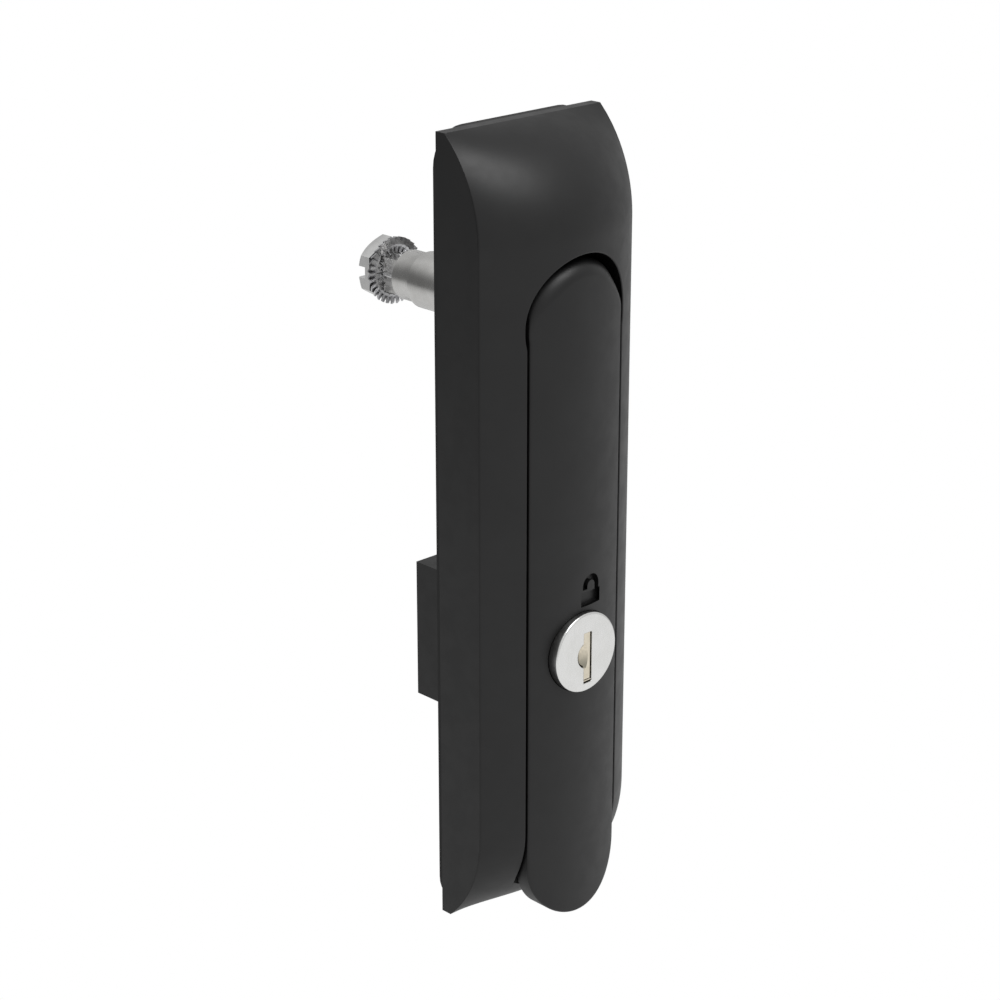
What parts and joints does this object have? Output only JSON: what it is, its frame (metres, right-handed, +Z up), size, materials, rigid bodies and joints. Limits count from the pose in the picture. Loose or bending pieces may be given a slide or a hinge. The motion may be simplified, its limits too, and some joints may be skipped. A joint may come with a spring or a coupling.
{
  "type": "swing handle latch",
  "caption": "Flush swing handle latch with a crowned oblong housing, a pocketed lift handle, a face-mounted key lock and a rear spindle with a hex cam screw.",
  "frame": {"origin": "the point where the spindle's axis crosses the outer face of the door panel, which is the back face of the gasket", "axes": "+Y into the panel along the spindle, +Z up along the housing towards the spindle's end, +X to the right of a user who faces the handle"},
  "size_m": [0.0344, 0.0507, 0.1366],
  "materials": {
    "housing": "satin black moulded",
    "handle": "satin black moulded",
    "seal": "matt",
    "brass": "turned and stamped",
    "steel": "zinc plated",
    "dark_metal": "blackened",
    "bearing": "smooth bearing plastic",
    "spindle": "zinc plated, turned",
    "plated_steel": "zinc plated",
    "plug_metal": "nickel plated brass",
    "lock_metal": "satin nickel"
  },
  "bodies": {
    "housing": {"housing": "housing", "gasket": "seal", "fixing_inserts": "brass", "catch_plate": "steel", "rest_pad": "seal", "carrier": "dark_metal", "spindle_bush": "bearing"},
    "spindle": {"spindle": "spindle", "spindle_seal": "seal", "spring_washer": "steel", "retaining_ring": "dark_metal", "toothed_washer": "steel", "cam_screw": "plated_steel"},
    "handle": {"handle": "handle", "hinge_pin": "plated_steel", "lock_barrel": "lock_metal", "lock_clip": "steel"},
    "lock_plug": {"face_cap": "lock_metal", "dust_shutter": "plug_metal", "lock_plug": "plug_metal", "lock_wafers": "brass", "wafer_springs": "steel", "lock_cam": "steel", "cam_nut": "plated_steel"}
  },
  "joints": [
    {"name": "spindle_turn", "type": "hinge", "parent": "housing", "child": "spindle", "pos_m": [0, 0, 0], "axis": [0, 1, 0], "range_deg": [-90, 90]},
    {"name": "handle_lift", "type": "hinge", "parent": "housing", "child": "handle", "pos_m": [0, -0.012, 0], "axis": [-1, 0, 0], "range_deg": [0, 45]},
    {"name": "key_turn", "type": "hinge", "parent": "handle", "child": "lock_plug", "pos_m": [0, -0.01, -0.0565], "axis": [0, 1, 0], "range_deg": [0, 90]}
  ]
}
